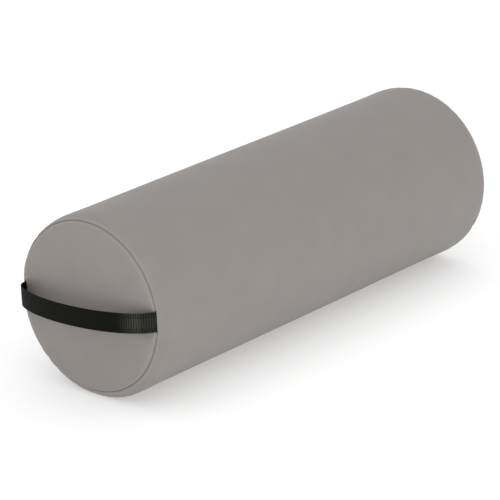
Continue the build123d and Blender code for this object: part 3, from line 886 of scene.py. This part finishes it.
def make_handle(material):
    """The two halves of the webbing, which meet at the middle of the handle."""
    along, out, distance = handle_line()
    across, through = webbing_section()
    place = distance[:, None]
    to_groove = np.abs((place / RIB_PITCH) % 1.0 - 0.5) * RIB_PITCH
    groove = np.exp(-((to_groove / RIB_GROOVE) ** 2))
    edge = smooth_step(np.abs(across), 0.80 * HANDLE_WIDTH / 2, HANDLE_WIDTH / 2)[None, :]
    selvedge = sum(np.exp(-(((np.abs(across) - line) / (0.55 * MM)) ** 2)) for line in SELVEDGE_LINES)
    selvedge = selvedge[None, :]
    depth = RIB_DEPTH * groove * (1 - 0.4 * edge) + 0.14 * MM * selvedge
    through = through[None, :] - np.sign(through[None, :]) * np.minimum(depth, np.abs(through[None, :]))
    across = across[None, :] * (1 - 0.012 * groove * edge)

    width_axis = np.cross(HANDLE_ALONG, (-1.0, 0.0, 0.0))
    width_axis = width_axis / np.linalg.norm(width_axis) * math.copysign(1.0, width_axis[2])
    direction = np.stack([np.gradient(along), np.gradient(out)], axis=1)
    direction /= np.linalg.norm(direction, axis=1)[:, None]
    normal_along, normal_out = -direction[:, 1], direction[:, 0]
    sag = -HANDLE_SAG * np.maximum(0.0, 1 - (along / HANDLE_FEET[1]) ** 2)
    u = along[:, None] + normal_along[:, None] * through
    h = out[:, None] + normal_out[:, None] * through
    v = sag[:, None] + across
    points = (
        HANDLE_PIVOT
        + u[..., None] * HANDLE_ALONG
        + h[..., None] * np.array([-1.0, 0.0, 0.0])
        + v[..., None] * width_axis
    )
    # painted shade in the rib grooves and selvedge lines
    painted_groove_shade = np.clip(np.broadcast_to(groove + 0.8 * selvedge, u.shape), 0.0, 1.0)
    uv = np.stack([np.broadcast_to(place, u.shape), np.broadcast_to(across, u.shape)], axis=-1)
    # painted highlight along the strap, strongest about seven eighths of the way along
    share = distance / distance[-1]
    wear_and_painted_highlight = smooth_step(share, *HIGHLIGHT_RISE) * (1.0 - HIGHLIGHT_LOSS * smooth_step(share, *HIGHLIGHT_FALL))
    wear_and_painted_highlight = np.broadcast_to(wear_and_painted_highlight[:, None], u.shape)
    middle = int(np.argmin(np.abs(along)))
    halves = (("left", slice(0, middle + 1), 0), ("right", slice(middle, len(along)), 1))
    for name, span, foot in halves:
        piece = grid_object(
            f"handle_{name}",
            points[span][:, ::-1],
            material,
            weights={"groove": painted_groove_shade[span][:, ::-1], "painted_highlight": wear_and_painted_highlight[span][:, ::-1]},
            uv=("weave", uv[span][:, ::-1]),
            ends=(0, -1),
        )
        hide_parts(f"handle_end_{name}", "handle_grip")
        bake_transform(piece)


# ---------------------------------------------------------------- the zip


def tube_object(name, lines, radius, sides, reference, material):
    """One mesh of round tubes along lines[tube, point]; reference is a direction none of them runs along."""
    direction = np.gradient(lines, axis=1)
    direction /= np.linalg.norm(direction, axis=2, keepdims=True)
    first = np.cross(direction, reference)
    first /= np.linalg.norm(first, axis=2, keepdims=True)
    second = np.cross(direction, first)
    turn = np.linspace(0.0, 2 * math.pi, sides + 1)[:-1]
    around = np.cos(turn)[:, None] * first[:, :, None] + np.sin(turn)[:, None] * second[:, :, None]
    points = lines[:, :, None] + around * radius
    tubes, rings = points.shape[:2]
    index = np.arange(points.size // 3).reshape(tubes, rings, sides)
    following = np.roll(index, -1, axis=2)
    quads = np.stack([index[:, :-1], index[:, 1:], following[:, 1:], following[:, :-1]], axis=-1)
    caps = np.concatenate([index[:, 0], index[:, -1, ::-1]])
    mesh = bpy.data.meshes.new(name)
    mesh.from_pydata(points.reshape(-1, 3).tolist(), [], quads.reshape(-1, 4).tolist() + caps.tolist())
    mesh.shade_smooth()
    mesh.materials.append(material)
    piece = bpy.data.objects.new(name, mesh)
    bpy.context.scene.collection.objects.link(piece)
    return piece


def zip_points(x, across, radius):
    """Points beside the zip's middle line: across it, round the cover, and out from the bolster's axis."""
    angle = ZIP_ANGLE + across / RADIUS
    return np.stack(
        np.broadcast_arrays(x, radius * np.cos(angle), AXIS_HEIGHT + radius * np.sin(angle)), axis=-1
    )


def make_coil(side, name, material):
    """One row of the zip's teeth: a nylon coil that meshes with the other row, and parts in the slider."""
    start, end = coil_low[0], coil_high[0]
    turns = (end - start) / COIL_PITCH - 1
    turn = np.linspace(0.0, 2 * math.pi * turns, int(turns * 13))
    x = start + COIL_PITCH * (turn / (2 * math.pi) + (0.25 if side > 0 else 0.75))
    reach = COIL_REACH[1] - COIL_REACH[0] - 2 * COIL_WIRE
    share = (1 - np.sign(np.cos(turn)) * np.abs(np.cos(turn)) ** 0.8) / 2
    parted = COIL_PARTED * (1 - smooth_step(x, slider_low[0] + 2 * MM, slider_high[0] - 2 * MM))
    across = side * (COIL_REACH[0] + COIL_WIRE + reach * share + parted)
    radius = COIL_MIDDLE + COIL_HALF_HEIGHT * np.sin(turn)
    line = zip_points(x, across, radius)[None]
    piece = tube_object(f"zip_coil_{name}", line, COIL_WIRE, 6, (1.0, 0.0, 0.0), material)
    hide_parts(f"zipper_coil_{name}")
    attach(piece, "bolster")


def make_hem_stitches(side, name, material, stand):
    """The row of stitches that holds a hem to the zip's tape."""
    count = int(2 * ZIP_SLOT_END / HEM_STITCH_PITCH)
    middle = (np.arange(count) - (count - 1) / 2) * HEM_STITCH_PITCH
    along = np.linspace(-1.0, 1.0, 9)
    x = middle[:, None] + along * HEM_STITCH_LENGTH / 2
    across = side * HEM_STITCH_PLACE
    surface = RADIUS + stand(x, ZIP_ANGLE + across / RADIUS)
    radius = surface + 0.05 * MM - 0.5 * MM * np.abs(along) ** 5
    lines = zip_points(x, across + 0.08 * MM * along, radius)
    outwards = (0.0, -math.sin(ZIP_ANGLE), math.cos(ZIP_ANGLE))
    piece = tube_object(f"hem_stitches_{name}", lines, THREAD_RADIUS, 8, outwards, material)
    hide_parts(f"zipper_stitching_{name}")
    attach(piece, "bolster")


# ---------------------------------------------------------------- floor, light and the run


def make_studio(material):
    """A plain pale floor that glows a little, more on one side, and so lights the bolster from below, a sky
    whose brightness changes with height as SKY says, and a soft key light.
    """
    mesh = bpy.data.meshes.new("floor")
    corners = [(x * FLOOR_HALF, y * FLOOR_HALF, 0.0) for x, y in ((-1, -1), (1, -1), (1, 1), (-1, 1))]
    mesh.from_pydata(corners, [], [(0, 1, 2, 3)])
    mesh.materials.append(material)
    floor = bpy.data.objects.new("floor", mesh)
    floor.location.z = -FLOOR_DROP
    bpy.context.scene.collection.objects.link(floor)

    world = bpy.data.worlds.new("studio")
    world.use_nodes = True
    tree = world.node_tree
    background = tree.nodes["Background"]
    direction = tree.nodes.new("ShaderNodeTexCoord")
    parts = tree.nodes.new("ShaderNodeSeparateXYZ")
    ramp = tree.nodes.new("ShaderNodeValToRGB")
    brightest = max(light for _, light in SKY)
    elements = ramp.color_ramp.elements
    while len(elements) < len(SKY):
        elements.new(0.5)
    for element, (height, light) in zip(elements, SKY):
        element.position = height
        element.color = (*[light / brightest] * 3, 1.0)
    background.inputs["Strength"].default_value = brightest
    tree.links.new(direction.outputs["Generated"], parts.inputs[0])
    tree.links.new(parts.outputs["Z"], ramp.inputs["Fac"])
    tree.links.new(ramp.outputs["Color"], background.inputs["Color"])
    bpy.context.scene.world = world

    data = bpy.data.lights.new("key", "AREA")
    data.shape = "DISK"
    data.size = KEY_SIZE
    data.energy = KEY_POWER
    light = bpy.data.objects.new("key", data)
    light.location = KEY_PLACE
    aim = Vector((-SEAM_X / 2, 0.0, AXIS_HEIGHT)) - Vector(KEY_PLACE)
    light.rotation_euler = aim.to_track_quat("-Z", "Y").to_euler()
    bpy.context.scene.collection.objects.link(light)
    bpy.context.scene.view_settings.view_transform = "Standard"
    bpy.context.scene.view_settings.look = "None"


def paint_nodes(materials):
    """Gives each CAD node the material whose key is part of the node's name."""
    for node, piece in frame["nodes"].items():
        for key, material in materials.items():
            if key in node:
                for slot in piece.material_slots:
                    slot.link = "OBJECT"
                    slot.material = material


make_camera()
vinyl = vinyl_material()
webbing = webbing_material()
coil = coil_material()
thread = thread_material()
paint_nodes(
    {
        "foam_": foam_material(),
        "zipper_tape": tape_material(),
        "zipper_coil": coil,
        "zipper_slider": metal_material("slider_metal", (0.40, 0.39, 0.38), 0.30, 0.45, 0.00004),
        "zipper_pull": metal_material("pull_metal", (0.42, 0.41, 0.40), 0.28, 0.42, 0.00004),
        "stop": metal_material("stop_metal", (0.75, 0.75, 0.76), 0.25, 0.38, 0.00003),
        "_thread": thread,
        "stitching": thread,
        "body_panel": vinyl,
        "end_panel": vinyl,
        "handle_grip": webbing,
        "handle_end": webbing,
    }
)
tube_stand = tube_swell()
make_body(vinyl, tube_stand)
make_end("cover_near_end", "near_end_panel", True, vinyl, 37)
make_end("cover_far_end", "far_end_panel", False, vinyl, 53)
make_handle(webbing)
for side, name in ((1, "upper"), (-1, "lower")):
    make_coil(side, name, coil)
    make_hem_stitches(side, name, thread, tube_stand)
make_studio(floor_material())
